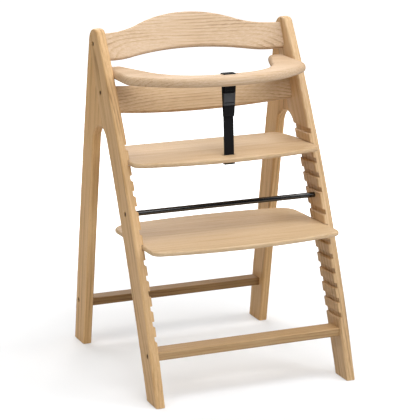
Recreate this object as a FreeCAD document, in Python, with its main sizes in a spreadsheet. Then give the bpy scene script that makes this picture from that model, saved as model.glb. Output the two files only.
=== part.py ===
import FreeCAD, Part
import math
import os

import Sketcher
from FreeCAD import Placement, Rotation, Vector

# Baby high chair: two A-shaped wooden side frames joined by two bent backrest boards, a U-shaped
# guard bar, two crossbars and a steel rod. Seat and footrest boards sit in grooves in the front legs.
# Axes: +X to the right as seen from the front, -Y forward, +Z up. The origin is on the floor,
# midway between the four feet.

# Driving dimensions in millimetres and degrees. Every feature below reads them from the sheet.
SIZES = {
    # side frame outline in the Y-Z plane, with the feet drawn long and sawn level at the floor
    "leg_inner": 227.0,
    "leg_thick": 22.0,
    "frame_top": 800.0,
    "foot_spare": 30.0,
    "front_foot_fore": -288.79,
    "front_foot_aft": -227.586,
    "rear_foot_fore": 218.981,
    "rear_foot_aft": 284.276,
    "head_fore": 85.5,
    "head_aft": 132.0,
    "notch_y": 94.0,
    "notch_z": 680.0,
    "leg_fore_bow": 3254.0,
    "leg_aft_bow": 5468.0,
    "rear_leg_bow": 11119.0,
    "head_fore_round": 18.0,
    "head_aft_round": 35.0,
    "arch_round": 50.0,
    "leg_edge_round": 5.0,
    "foot_edge_round": 1.5,
    # glued joint between the two planks of a side frame
    "joint_y": 49.0,
    "joint_z": 571.4,
    "joint_lean": 23.8,
    "joint_dowel_low": 55.0,
    "joint_dowel_gap": 80.0,
    "joint_dowel_len": 36.0,
    # ladder of grooves in each front leg; heights are where the centre line crosses Y = 0
    "groove_tilt": 1.4,
    "groove_height": 12.0,
    "groove_depth": 6.5,
    "groove_pitch": 32.7,
    "groove_low": 140.7,
    "groove_high": 418.6,
    "groove_low_count": 8.0,
    "groove_high_count": 5.0,
    "lip_low": 4.0,
    "lip_high": 2.0,
    "lip_over": 0.4,
    # screws and dowels
    "shank_rad": 3.0,
    "shank_hole": 6.2,
    "head_rad": 5.5,
    "head_len": 6.0,
    "recess_dia": 12.0,
    "recess_deep": 8.0,
    "socket_flat": 5.0,
    "socket_deep": 3.5,
    "dowel_rad": 4.0,
    "dowel_hole": 8.1,
    "dowel_in_leg": 10.0,
    "dowel_in_rail": 14.0,
    "screw_in_back": 22.0,
    "bolt_in_bar": 40.0,
    "bolt_in_rod": 24.0,
    "nut_inset": 30.0,
    "nut_rad": 5.0,
    "nut_len": 12.0,
    # backrest boards
    "back_thick": 16.0,
    "back_bow": 652.0,
    "back_round": 5.0,
    "upper_y": 79.1,
    "upper_z": 729.0,
    "upper_lean": 25.0,
    "lower_y": 32.3,
    "lower_z": 612.1,
    "lower_lean": 21.4,
    "upper_screw_y": 108.4,
    "upper_screw_z": 763.8,
    "lower_screw_y": 62.4,
    "lower_screw_z": 657.0,
    "back_dowel_up": 22.0,
    "back_dowel_in": 10.5,
    "hump_peak": 145.2,
    "hump_round": 300.0,
    "shoulder_x": 160.8,
    "shoulder_up": 73.6,
    "shoulder_round": 280.0,
    "upper_end_top": 64.8,
    "hollow_peak": 48.5,
    "hollow_round": 620.0,
    "hollow_foot_x": 186.9,
    "hollow_foot_round": 300.0,
    "upper_end_under": 1.9,
    "lower_top": 66.0,
    "lower_under_end": 3.9,
    "lower_under_round": 5857.0,
    # guard bar
    "guard_z": 690.0,
    "guard_thick": 22.0,
    "guard_round": 9.5,
    "guard_front_bow": 305.0,
    "guard_side_y": -44.7,
    "guard_side_round": 40.0,
    "guard_inner_half": 50.0,
    "guard_inner_step": 90.0,
    "guard_inner_bow": 420.0,
    "guard_corner_x": 155.0,
    "guard_corner_bow": 132.3,
    "guard_tip_x": 189.0,
    "guard_tip_y": 92.0,
    "guard_tip_round": 14.0,
    "guard_slot_half": 21.0,
    "guard_slot_fore": 114.0,
    "guard_slot_aft": 107.5,
    "pin_rad": 3.0,
    "pin_in_leg": 10.0,
    "pin_in_guard": 18.0,
    "pin_fore": 48.0,
    "pin_aft": 74.0,
    # seat and footrest boards
    "board_half": 233.0,
    "board_thick": 11.3,
    "board_round": 4.8,
    "board_lift": 0.05,
    "board_corner": 25.0,
    "seat_groove": 3.0,
    "seat_taper_y": 20.0,
    "seat_rear_half": 220.2,
    "seat_rear": 98.0,
    "seat_front_side": 114.0,
    "seat_front_bow": 815.0,
    "seat_slot_half": 17.0,
    "seat_slot_fore": 112.5,
    "seat_slot_aft": 103.5,
    "foot_groove": 6.0,
    "foot_corner": 45.0,
    "foot_rear_side": 48.0,
    "foot_rear_bow": 1250.0,
    "foot_front_side": 226.0,
    "foot_front_bow": 1057.0,
    # crossbars and rod
    "bar_round": 3.0,
    "front_bar_fore": 237.0,
    "front_bar_aft": 191.0,
    "front_bar_low": 97.0,
    "rear_bar_fore": 216.0,
    "rear_bar_aft": 254.0,
    "rear_bar_low": 95.0,
    "bar_thick": 19.5,
    "front_bolt_y": -225.3,
    "front_bolt_z": 107.5,
    "rear_bolt_y": 243.3,
    "rear_bolt_z": 106.1,
    "front_dowel_y": -202.0,
    "rear_dowel_y": 227.0,
    "rod_y": -92.7,
    "rod_z": 404.6,
    "rod_rad": 6.35,
    "rod_bore": 6.2,
    # crotch strap
    "strap_x": 1.0,
    "strap_width": 25.0,
    "strap_skin": 1.5,
    "strap_fore": 108.6,
    "strap_back": 102.0,
    "loop_width": 30.0,
    "loop_fore": 111.5,
    "loop_aft": 91.2,
    "loop_gap": 0.3,
    "band_top": 36.0,
    "band_foot": 28.5,
    "band_low": 614.0,
    "seam_low": 672.0,
    "band_aft": 104.0,
    "strap_clear": 0.3,
    "slider_low": 640.0,
    "slider_high": 28.0,
    "slider_width": 28.0,
    "slider_back": 1.0,
    "slider_face": 1.5,
    "keeper_deep": 13.0,
    "keeper_drop": 11.0,
}

doc = FreeCAD.newDocument("high_chair")
sheet = doc.addObject("Spreadsheet::Sheet", "dims")
for row, (alias, number) in enumerate(SIZES.items(), start=1):
    sheet.set("A%d" % row, alias)
    sheet.set("B%d" % row, str(number))
    sheet.setAlias("B%d" % row, alias)
doc.recompute()


class Size:
    """A length or angle known both as a number and as the expression that reads it from the sheet."""

    def __init__(self, number, text):
        self.number = number
        self.text = text

    def __add__(self, other):
        other = as_size(other)
        return Size(self.number + other.number, "(%s + %s)" % (self.text, other.text))

    def __sub__(self, other):
        other = as_size(other)
        return Size(self.number - other.number, "(%s - %s)" % (self.text, other.text))

    def __mul__(self, other):
        other = as_size(other)
        return Size(self.number * other.number, "(%s * %s)" % (self.text, other.text))

    def __neg__(self):
        return Size(-self.number, "(-1 * %s)" % self.text)


def as_size(value):
    return value if isinstance(value, Size) else Size(float(value), repr(float(value)))


def size(alias):
    return Size(SIZES[alias], "dims." + alias)


def sine(angle):
    return Size(math.sin(math.radians(angle.number)), "sin(%s)" % angle.text)


def cosine(angle):
    return Size(math.cos(math.radians(angle.number)), "cos(%s)" % angle.text)


def tangent(angle):
    return Size(math.tan(math.radians(angle.number)), "tan(%s)" % angle.text)


# ---------------------------------------------------------------- building blocks


def new_body(label):
    body = doc.addObject("PartDesign::Body", label)
    body.Label = label
    return body


def place(thing, x=0, y=0, z=0, tilt=None):
    """Move an object, and lean it about X so that its front rises by the angle tilt."""
    thing.Placement = Placement(Vector(0, 0, 0), Rotation(Vector(-1, 0, 0), tilt.number if tilt else 0))
    for axis, value in zip("xyz", (x, y, z)):
        thing.setExpression("Placement.Base." + axis, as_size(value).text)
    if tilt:
        thing.setExpression("Placement.Rotation.Angle", tilt.text)


def new_sketch(body, name, role, lift=None, lean=None):
    """Sketch on one of the body's own origin planes, lifted along and leaned about its normal and X."""
    plane = next(f for f in body.Origin.OriginFeatures if f.Role == role)
    sketch = body.newObject("Sketcher::SketchObject", name)
    sketch.AttachmentSupport = [(plane, "")]
    sketch.MapMode = "FlatFace"
    if lean:
        sketch.AttachmentOffset = Placement(Vector(0, 0, 0), Rotation(Vector(-1, 0, 0), lean.number))
        sketch.setExpression("AttachmentOffset.Rotation.Angle", lean.text)
    if lift:
        sketch.setExpression("AttachmentOffset.Base.z", lift.text)
    return sketch


def bind(sketch, kind, *rest):
    """Add a dimension to a sketch and tie it to the sheet."""
    value = rest[-1]
    index = sketch.addConstraint(Sketcher.Constraint(kind, *rest[:-1], value.number))
    sketch.setExpression("Constraints[%d]" % index, value.text)


def pin(sketch, curve, end, x, y):
    """Hold a point of a sketch at a place read from the sheet."""
    for kind, value, axis in (("DistanceX", as_size(x), -2), ("DistanceY", as_size(y), -1)):
        if value.number == 0:
            sketch.addConstraint(Sketcher.Constraint("PointOnObject", curve, end, axis))
        else:
            bind(sketch, kind, -1, 1, curve, end, value)


def arc_between(start, end, bow):
    """Arc from start to end; a positive bow bulges to the left of the way from start to end."""
    chord = end - start
    half = chord.Length / 2
    left = Vector(-chord.y, chord.x, 0).normalize()
    depth = math.sqrt(bow * bow - half * half)
    centre = (start + end) * 0.5 - left * math.copysign(depth, bow)
    first, last = (end, start) if bow > 0 else (start, end)
    angles = [math.atan2(point.y - centre.y, point.x - centre.x) for point in (first, last)]
    return Part.ArcOfCircle(Part.Circle(centre, Vector(0, 0, 1), abs(bow)), *angles)


def outline(sketch, corners):
    """Closed outline. Each corner is (x, y) or (x, y, bow): bow rounds the side that follows it."""
    points = [Vector(as_size(c[0]).number, as_size(c[1]).number, 0) for c in corners]
    starts = []
    ends = []
    for number, corner in enumerate(corners):
        start = points[number]
        end = points[(number + 1) % len(points)]
        if len(corner) == 3:
            curve = sketch.addGeometry(arc_between(start, end, corner[2].number), False)
            bind(sketch, "Radius", curve, Size(abs(corner[2].number), "abs(%s)" % corner[2].text))
            forward = sketch.Geometry[curve].StartPoint.distanceToPoint(start) < 1e-6
        else:
            curve = sketch.addGeometry(Part.LineSegment(start, end), False)
            forward = True
        starts.append((curve, 1 if forward else 2))
        ends.append((curve, 2 if forward else 1))
    for number, corner in enumerate(corners):
        sketch.addConstraint(Sketcher.Constraint("Coincident", *ends[number - 1], *starts[number]))
        pin(sketch, *starts[number], corner[0], corner[1])


def circle(sketch, x, y, diameter):
    ring = Part.Circle(Vector(as_size(x).number, as_size(y).number, 0), Vector(0, 0, 1), diameter.number / 2)
    curve = sketch.addGeometry(ring, False)
    bind(sketch, "Diameter", curve, diameter)
    pin(sketch, curve, 3, x, y)


def box_outline(sketch, x_low, x_high, y_low, y_high):
    outline(sketch, [(x_low, y_low), (x_high, y_low), (x_high, y_high), (x_low, y_high)])


def pad(body, sketch, length, both_ways=False, backwards=False):
    feature = body.newObject("PartDesign::Pad", "Pad")
    feature.Profile = sketch
    feature.setExpression("Length", length.text)
    feature.Midplane = both_ways
    feature.Reversed = backwards
    doc.recompute()
    return feature


def pocket(body, sketch, depth=None, both_ways=False, backwards=False):
    """Cut a sketch out of the body; without a depth it goes right through."""
    before = body.Shape.Volume
    feature = body.newObject("PartDesign::Pocket", "Pocket")
    feature.Profile = sketch
    if depth:
        feature.setExpression("Length", depth.text)
    else:
        feature.Type = "ThroughAll"
    feature.Midplane = both_ways
    feature.Reversed = backwards
    doc.recompute()
    if not feature.Shape.Volume < before - 1e-3:
        raise RuntimeError(body.Label + ": a pocket removed nothing")
    return feature


def repeat_up(body, feature, count, pitch):
    """Repeat a cut up the Z axis."""
    pattern = body.newObject("PartDesign::LinearPattern", "LinearPattern")
    pattern.Originals = [feature]
    pattern.Direction = (next(f for f in body.Origin.OriginFeatures if f.Role == "Z_Axis"), [""])
    pattern.setExpression("Occurrences", count.text)
    pattern.setExpression("Length", (pitch * (count - 1)).text)
    body.Tip = pattern
    doc.recompute()
    return pattern


def round_edges(body, feature, wanted, radius):
    """Fillet the edges of a feature that pass the test wanted."""
    names = ["Edge%d" % n for n, edge in enumerate(feature.Shape.Edges, start=1) if wanted(edge)]
    fillet = body.newObject("PartDesign::Fillet", "Fillet")
    fillet.Base = (feature, names)
    fillet.setExpression("Radius", radius.text)
    doc.recompute()
    return fillet


def lies_along(edge, axis):
    """True for a straight edge parallel to the given axis."""
    if not isinstance(edge.Curve, Part.Line):
        return False
    return abs(edge.Curve.Direction.dot(axis)) > 0.9999


def passes(edge, x=None, y=None, z=None, slack=0.6):
    """True if the middle of an edge is at the given coordinates."""
    middle = edge.valueAt((edge.FirstParameter + edge.LastParameter) / 2)
    pairs = ((middle.x, x), (middle.y, y), (middle.z, z))
    return all(want is None or abs(have - want) < slack for have, want in pairs)


def flat_in(edge, axis, level):
    """True for an edge that lies wholly in the plane where one coordinate has one value."""
    low = getattr(edge.BoundBox, axis + "Min")
    high = getattr(edge.BoundBox, axis + "Max")
    return abs(low - level) < 1e-3 and abs(high - level) < 1e-3


def group(label, pieces):
    """One node made of several separate solids."""
    bundle = doc.addObject("Part::Compound", label)
    bundle.Label = label
    bundle.Links = pieces
    doc.recompute()
    return bundle


def rod_piece(name, radius, x_start, length, y, z):
    """Plain round piece lying along X."""
    piece = doc.addObject("Part::Cylinder", name)
    piece.Placement = Placement(Vector(0, 0, 0), Rotation(Vector(0, 1, 0), 90))
    piece.setExpression("Radius", radius.text)
    piece.setExpression("Height", length.text)
    for axis, value in zip("xyz", (x_start, y, z)):
        piece.setExpression("Placement.Base." + axis, as_size(value).text)
    return piece


# ---------------------------------------------------------------- shared places

SIDES = (-1, 1)
LEG_INNER = size("leg_inner")
LEG_OUTER = size("leg_inner") + size("leg_thick")
LEG_MIDDLE = size("leg_inner") + size("leg_thick") * 0.5

# where each screw passes through a side frame, as (Y, Z)
UPPER_SCREW = (size("upper_screw_y"), size("upper_screw_z"))
LOWER_SCREW = (size("lower_screw_y"), size("lower_screw_z"))
ROD_SCREW = (size("rod_y"), size("rod_z"))
FRONT_BOLT = (size("front_bolt_y"), size("front_bolt_z"))
REAR_BOLT = (size("rear_bolt_y"), size("rear_bolt_z"))


def back_dowel(name):
    """Dowel centre at the end of a backrest board, inside its thickness."""
    lean = size(name + "_lean")
    along = size("back_dowel_up")
    inward = size("back_dowel_in")
    y = size(name + "_y") + along * sine(lean) + inward * cosine(lean)
    z = size(name + "_z") + along * cosine(lean) - inward * sine(lean)
    return y, z


FRONT_DOWEL = (size("front_dowel_y"), size("front_bar_low") + size("bar_thick") * 0.5)
REAR_DOWEL = (size("rear_dowel_y"), size("rear_bar_low") + size("bar_thick") * 0.5)
GUARD_LEVEL = size("guard_z") + size("guard_thick") * 0.5
GUARD_PINS = ((size("pin_fore"), GUARD_LEVEL), (size("pin_aft"), GUARD_LEVEL))


# ---------------------------------------------------------------- side frames


def side_blank(body, side):
    """Both planks of a side frame in one piece: edges rounded, then the feet sawn level and eased."""
    lift = LEG_INNER if side > 0 else -LEG_INNER
    sketch = new_sketch(body, "FrameOutline", "YZ_Plane", lift)
    foot = -size("foot_spare")
    outline(sketch, [
        (size("front_foot_fore"), foot, size("leg_fore_bow")),
        (size("head_fore"), size("frame_top")),
        (size("head_aft"), size("frame_top"), size("rear_leg_bow")),
        (size("rear_foot_aft"), foot),
        (size("rear_foot_fore"), foot),
        (size("notch_y"), size("notch_z"), -size("leg_aft_bow")),
        (size("front_foot_aft"), foot),
    ])
    blank = pad(body, sketch, size("leg_thick"), backwards=side < 0)
    top = SIZES["frame_top"]
    x_axis = Vector(1, 0, 0)
    rounds = (
        (SIZES["head_fore"], top, "head_fore_round"),
        (SIZES["head_aft"], top, "head_aft_round"),
        (SIZES["notch_y"], SIZES["notch_z"], "arch_round"),
    )
    for y, z, radius in rounds:
        blank = round_edges(
            body, blank, lambda e: lies_along(e, x_axis) and passes(e, y=y, z=z), size(radius))
    inner = side * SIZES["leg_inner"]
    outer = side * (SIZES["leg_inner"] + SIZES["leg_thick"])

    def long_edge(edge):
        on_face = flat_in(edge, "X", inner) or flat_in(edge, "X", outer)
        return on_face and not flat_in(edge, "Z", foot.number)

    round_edges(body, blank, long_edge, size("leg_edge_round"))
    floor = new_sketch(body, "FloorLine", "YZ_Plane", LEG_MIDDLE if side > 0 else -LEG_MIDDLE)
    box_outline(floor, -320, 320, foot - 10, 0)
    sawn = pocket(body, floor, both_ways=True)
    round_edges(body, sawn, lambda e: flat_in(e, "Z", 0), size("foot_edge_round"))


def split_at_joint(body, side, keep_front):
    """Cut away the other plank along the straight glued joint."""
    lean = size("joint_lean")
    below = size("joint_z") - 9
    above = size("frame_top") + 30
    low_y = size("joint_y") - tangent(lean) * 9
    high_y = size("joint_y") + tangent(lean) * (above - size("joint_z"))
    far = 400 if keep_front else -400
    lift = LEG_MIDDLE if side > 0 else -LEG_MIDDLE
    sketch = new_sketch(body, "OtherPlank", "YZ_Plane", lift)
    outline(sketch, [(low_y, below), (high_y, above), (far, above), (far, -20), (0, -20)])
    pocket(body, sketch, both_ways=True)


def joint_dowel_holes(body, side):
    """Blind holes for the dowels that cross the glued joint at right angles."""
    lean = size("joint_lean")
    for step in (0, 1):
        lift = LEG_MIDDLE if side > 0 else -LEG_MIDDLE
        along = size("joint_dowel_low") + size("joint_dowel_gap") * step
        centre_y = size("joint_y") + along * sine(lean)
        centre_z = size("joint_z") + along * cosine(lean)
        half = size("joint_dowel_len") * 0.5 + 1
        radius = size("dowel_hole") * 0.5
        sketch = new_sketch(body, "JointDowelHole", "YZ_Plane", lift)
        corners = []
        for reach, out in ((-half, 0), (half, 0), (half, radius), (-half, radius)):
            out = as_size(out)
            corners.append((
                centre_y + reach * cosine(lean) + out * sine(lean),
                centre_z - reach * sine(lean) + out * cosine(lean),
            ))
        outline(sketch, corners)
        ends = [Vector(corner[0].number, corner[1].number, 0) for corner in corners[:2]]
        sketch.addGeometry(Part.LineSegment(*ends), True)
        before = body.Shape.Volume
        groove = body.newObject("PartDesign::Groove", "Groove")
        groove.Profile = sketch
        groove.ReferenceAxis = (sketch, ["Axis0"])
        groove.Angle = 360
        doc.recompute()
        if not groove.Shape.Volume < before - 1:
            raise RuntimeError(body.Label + ": a dowel hole removed nothing")


def screw_holes(body, side, places):
    """Through holes with a recess for the screw heads on the outer face."""
    lift = LEG_OUTER if side > 0 else -LEG_OUTER
    shanks = new_sketch(body, "ScrewHoles", "YZ_Plane", lift)
    recesses = new_sketch(body, "HeadRecesses", "YZ_Plane", lift)
    for y, z in places:
        circle(shanks, y, z, size("shank_hole"))
        circle(recesses, y, z, size("recess_dia"))
    pocket(body, shanks, size("leg_thick") + 1, backwards=side < 0)
    pocket(body, recesses, size("recess_deep"), backwards=side < 0)


def blind_holes(body, side, places, diameter, depth):
    """Blind holes in the inner face."""
    lift = LEG_INNER if side > 0 else -LEG_INNER
    sketch = new_sketch(body, "BlindHoles", "YZ_Plane", lift)
    for y, z in places:
        circle(sketch, y, z, diameter)
    pocket(body, sketch, depth, backwards=side > 0)


def ladder(body, side):
    """Two banks of grooves with rounded lips across the inner face of a front leg."""
    floor = (LEG_INNER + size("groove_depth")) * side
    clear = (LEG_INNER - 2) * side
    brink = (LEG_INNER - size("lip_over")) * side
    half = size("groove_height") * 0.5
    low = size("lip_low")
    high = size("lip_high")
    low_bow = low + size("lip_over")
    high_bow = high + size("lip_over")
    for first, count in (("groove_low", "groove_low_count"), ("groove_high", "groove_high_count")):
        centre = size(first) * cosine(size("groove_tilt"))
        sketch = new_sketch(body, "GrooveProfile", "XZ_Plane", lean=size("groove_tilt"))
        outline(sketch, [
            (clear, centre - half - low_bow),
            (brink, centre - half - low_bow, low_bow * side),
            ((LEG_INNER + low) * side, centre - half),
            (floor, centre - half),
            (floor, centre + half),
            ((LEG_INNER + high) * side, centre + half, high_bow * side),
            (brink, centre + half + high_bow),
            (clear, centre + half + high_bow),
        ])
        cut = pocket(body, sketch, size("frame_top"), both_ways=True)
        repeat_up(body, cut, size(count), size("groove_pitch"))


def front_leg(side, label):
    """Full-height front plank: rounded edges, ladder of grooves, screw and dowel holes."""
    body = new_body(label)
    side_blank(body, side)
    split_at_joint(body, side, keep_front=True)
    ladder(body, side)
    joint_dowel_holes(body, side)
    screw_holes(body, side, (UPPER_SCREW, LOWER_SCREW, ROD_SCREW, FRONT_BOLT))
    dowels = (back_dowel("upper"), back_dowel("lower"), FRONT_DOWEL)
    blind_holes(body, side, dowels, size("dowel_hole"), size("dowel_in_leg") + 1)
    blind_holes(body, side, GUARD_PINS, size("pin_rad") * 2 + 0.1, size("pin_in_leg") + 1)
    return body


def rear_leg(side, label):
    """Rear plank, glued to the front plank above the arch."""
    body = new_body(label)
    side_blank(body, side)
    split_at_joint(body, side, keep_front=False)
    joint_dowel_holes(body, side)
    screw_holes(body, side, (REAR_BOLT,))
    blind_holes(body, side, (REAR_DOWEL,), size("dowel_hole"), size("dowel_in_leg") + 1)
    return body


def leg_joint_dowels():
    """Two hidden dowels across each glued joint."""
    lean = size("joint_lean")
    pieces = []
    for side in SIDES:
        for step in (0, 1):
            along = size("joint_dowel_low") + size("joint_dowel_gap") * step
            half = size("joint_dowel_len") * 0.5
            piece = doc.addObject("Part::Cylinder", "JointDowel")
            turn = Rotation(Vector(0, 0, 1), Vector(0, math.cos(math.radians(lean.number)),
                                                    -math.sin(math.radians(lean.number))))
            piece.Placement = Placement(Vector(0, 0, 0), turn)
            piece.setExpression("Placement.Base.x", (LEG_MIDDLE * side).text)
            piece.setExpression("Placement.Base.y",
                                (size("joint_y") + along * sine(lean) - half * cosine(lean)).text)
            piece.setExpression("Placement.Base.z",
                                (size("joint_z") + along * cosine(lean) + half * sine(lean)).text)
            piece.setExpression("Radius", size("dowel_rad").text)
            piece.setExpression("Height", size("joint_dowel_len").text)
            pieces.append(piece)
    return group("leg_joint_dowels", pieces)


# ---------------------------------------------------------------- backrest boards


def bent_board(name, label, shape, corners=()):
    """Board bent to a circular bow and leaning back, cut to an outline drawn in its own plane.

    Each of corners is (x, z, radius): a corner of the outline and the radius that rounds it.
    """
    body = new_body(label)
    place(body, y=size(name + "_y"), z=size(name + "_z"), tilt=size(name + "_lean"))
    bow = size("back_bow")
    thick = size("back_thick")
    face = new_sketch(body, "BoardFace", "XZ_Plane")
    outline(face, shape)
    board = pad(body, face, thick + 46, backwards=True)
    y_axis = Vector(0, 1, 0)
    for x, z, radius in corners:
        board = round_edges(
            body, board,
            lambda e: lies_along(e, y_axis) and (passes(e, x=x, z=z) or passes(e, x=-x, z=z)),
            size(radius))
    hollow = new_sketch(body, "FrontHollow", "XY_Plane")
    outline(hollow, [(-LEG_INNER, -20), (LEG_INNER, -20), (LEG_INNER, 0, -bow), (-LEG_INNER, 0)])
    pocket(body, hollow, both_ways=True)
    back_rise = root(bow + thick, LEG_INNER) - root(bow, LEG_INNER)
    behind = new_sketch(body, "BehindBoard", "XY_Plane")
    outline(behind, [
        (-LEG_INNER, back_rise, bow + thick),
        (LEG_INNER, back_rise),
        (LEG_INNER, 90),
        (-LEG_INNER, 90),
    ])
    board = pocket(body, behind, both_ways=True)
    end = SIZES["leg_inner"]
    rounded = round_edges(
        body, board, lambda e: not (flat_in(e, "X", end) or flat_in(e, "X", -end)) and e.Length > 20,
        size("back_round"))
    lean = size(name + "_lean")
    run = size(name + "_screw_y") - size(name + "_y")
    climb = size(name + "_screw_z") - size(name + "_z")
    screw = (run * cosine(lean) - climb * sine(lean), run * sine(lean) + climb * cosine(lean))
    dowel = (size("back_dowel_in"), size("back_dowel_up"))
    end_holes(body, (screw,), size("shank_hole"), size("screw_in_back") + 1)
    end_holes(body, (dowel,), size("dowel_hole"), size("dowel_in_rail") + 1)
    return body


def root(radius, half):
    """Height of a circle of the given radius above a chord end half a width away."""
    number = math.sqrt(radius.number ** 2 - half.number ** 2)
    return Size(number, "sqrt(%s^2 - %s^2)" % (radius.text, half.text))


def end_holes(body, places, diameter, depth):
    """Blind holes in both ends of a board or bar that spans the side frames."""
    for side in SIDES:
        sketch = new_sketch(body, "EndHoles", "YZ_Plane", LEG_INNER * side)
        for y, z in places:
            circle(sketch, y, z, diameter)
        pocket(body, sketch, depth, backwards=side < 0)


def upper_backrest():
    """Top board with a central hump and a hollowed lower edge."""
    end = LEG_INNER
    shoulder = size("shoulder_x")
    foot = size("hollow_foot_x")
    return bent_board("upper", "upper_backrest", [
        (end, size("upper_end_under")),
        (end, size("upper_end_top")),
        (shoulder, size("shoulder_up")),
        (0, size("hump_peak")),
        (-shoulder, size("shoulder_up")),
        (-end, size("upper_end_top")),
        (-end, size("upper_end_under")),
        (-foot, size("upper_end_under")),
        (0, size("hollow_peak")),
        (foot, size("upper_end_under")),
    ], [
        (0, SIZES["hump_peak"], "hump_round"),
        (SIZES["shoulder_x"], SIZES["shoulder_up"], "shoulder_round"),
        (0, SIZES["hollow_peak"], "hollow_round"),
        (SIZES["hollow_foot_x"], SIZES["upper_end_under"], "hollow_foot_round"),
    ])


def lower_backrest():
    """Lumbar board with a straight top and a slightly bellied lower edge."""
    return bent_board("lower", "lower_backrest", [
        (LEG_INNER, size("lower_under_end")),
        (LEG_INNER, size("lower_top")),
        (-LEG_INNER, size("lower_top")),
        (-LEG_INNER, size("lower_under_end"), -size("lower_under_round")),
    ])


# ---------------------------------------------------------------- guard bar


def guard_bar():
    """U-shaped bar whose arms lie along the front legs, with a slot for the strap."""
    body = new_body("guard_bar")
    sketch = new_sketch(body, "GuardPlan", "XY_Plane", size("guard_z"))
    side_y = size("guard_side_y")
    tip_x = size("guard_tip_x")
    tip_y = size("guard_tip_y")
    corner = size("guard_corner_x")
    step = size("guard_inner_half")
    step_y = -size("guard_inner_step")
    outline(sketch, [
        (-LEG_INNER, side_y, -size("guard_front_bow")),
        (LEG_INNER, side_y),
        (LEG_INNER, tip_y),
        (tip_x, tip_y),
        (corner, 0, size("guard_corner_bow")),
        (step, step_y, size("guard_inner_bow")),
        (-step, step_y, size("guard_corner_bow")),
        (-corner, 0),
        (-tip_x, tip_y),
        (-LEG_INNER, tip_y),
    ])
    shape = pad(body, sketch, size("guard_thick"))
    z_axis = Vector(0, 0, 1)
    end = SIZES["leg_inner"]
    rounds = (
        (end, SIZES["guard_side_y"], "guard_side_round"),
        (end, SIZES["guard_tip_y"], "guard_tip_round"),
        (SIZES["guard_tip_x"], SIZES["guard_tip_y"], "guard_tip_round"),
    )
    for x, y, radius in rounds:
        shape = round_edges(
            body, shape,
            lambda e: lies_along(e, z_axis) and (passes(e, x=x, y=y) or passes(e, x=-x, y=y)),
            size(radius))
    low = SIZES["guard_z"]
    high = low + SIZES["guard_thick"]
    shape = round_edges(
        body, shape, lambda e: flat_in(e, "Z", low) or flat_in(e, "Z", high), size("guard_round"))
    slot = new_sketch(body, "StrapSlot", "XY_Plane", size("guard_z"))
    half = size("guard_slot_half")
    box_outline(slot, -half, half, -size("guard_slot_fore"), -size("guard_slot_aft"))
    pocket(body, slot, both_ways=True)
    for side in SIDES:
        holes = new_sketch(body, "PinHoles", "YZ_Plane", LEG_INNER * side)
        for y, z in GUARD_PINS:
            circle(holes, y, z, size("pin_rad") * 2 + 0.1)
        pocket(body, holes, size("pin_in_guard") + 1, backwards=side < 0)
    return body


# ---------------------------------------------------------------- seat and footrest


def groove_floor(bank, index):
    """Height, on the plane Y = 0, of the bottom of a board resting in a groove."""
    rise = size(bank) + size("groove_pitch") * size(index)
    return rise - size("groove_height") * 0.5 + size("board_lift")


SEAT_BASE = groove_floor("groove_high", "seat_groove")
FOOT_BASE = groove_floor("groove_low", "foot_groove")


def tread(label, base, corners, rear_round):
    """Flat board with rounded corners and edges, leaning with the grooves."""
    body = new_body(label)
    place(body, z=base, tilt=size("groove_tilt"))
    sketch = new_sketch(body, "BoardPlan", "XY_Plane")
    outline(sketch, corners)
    board = pad(body, sketch, size("board_thick"))
    z_axis = Vector(0, 0, 1)
    board = round_edges(
        body, board, lambda e: lies_along(e, z_axis) and e.BoundBox.YMax < 0, size("board_corner"))
    board = round_edges(
        body, board, lambda e: lies_along(e, z_axis) and e.BoundBox.YMin > 0, size(rear_round))
    thick = SIZES["board_thick"]
    return body, round_edges(
        body, board, lambda e: flat_in(e, "Z", 0) or flat_in(e, "Z", thick), size("board_round"))


def seat_board():
    """Seat with a bowed front edge, sides that draw in at the rear and a slot for the crotch strap."""
    half = size("board_half")
    rear_half = size("seat_rear_half")
    body, _ = tread("seat_board", SEAT_BASE, [
        (-half, -size("seat_front_side"), -size("seat_front_bow")),
        (half, -size("seat_front_side")),
        (half, size("seat_taper_y")),
        (rear_half, size("seat_rear")),
        (-rear_half, size("seat_rear")),
        (-half, size("seat_taper_y")),
    ], "board_corner")
    slot = new_sketch(body, "StrapSlot", "XY_Plane")
    wide = size("seat_slot_half")
    box_outline(slot, -wide, wide, -size("seat_slot_fore"), -size("seat_slot_aft"))
    pocket(body, slot, both_ways=True)
    return body


def footrest_board():
    """Footrest with bowed front and rear edges."""
    half = size("board_half")
    body, _ = tread("footrest_board", FOOT_BASE, [
        (-half, -size("foot_front_side"), -size("foot_front_bow")),
        (half, -size("foot_front_side")),
        (half, size("foot_rear_side"), -size("foot_rear_bow")),
        (-half, size("foot_rear_side")),
    ], "foot_corner")
    return body


# ---------------------------------------------------------------- crossbars and rod


def crossbar(label, y_low, y_high, z_low, bolt, dowel):
    """Bar with eased long edges, end holes and barrel nut holes in its underside."""
    body = new_body(label)
    sketch = new_sketch(body, "BarSection", "YZ_Plane")
    box_outline(sketch, y_low, y_high, z_low, z_low + size("bar_thick"))
    bar = pad(body, sketch, LEG_INNER * 2, both_ways=True)
    x_axis = Vector(1, 0, 0)
    round_edges(body, bar, lambda e: lies_along(e, x_axis), size("bar_round"))
    end_holes(body, (bolt,), size("shank_hole"), size("bolt_in_bar") + 1)
    end_holes(body, (dowel,), size("dowel_hole"), size("dowel_in_rail") + 1)
    nuts = new_sketch(body, "NutHoles", "XY_Plane", z_low)
    for side in SIDES:
        circle(nuts, (LEG_INNER - size("nut_inset")) * side, bolt[0], size("nut_rad") * 2 + 0.1)
    pocket(body, nuts, bolt[1] - z_low + size("nut_len") * 0.5, backwards=True)
    return body


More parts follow.
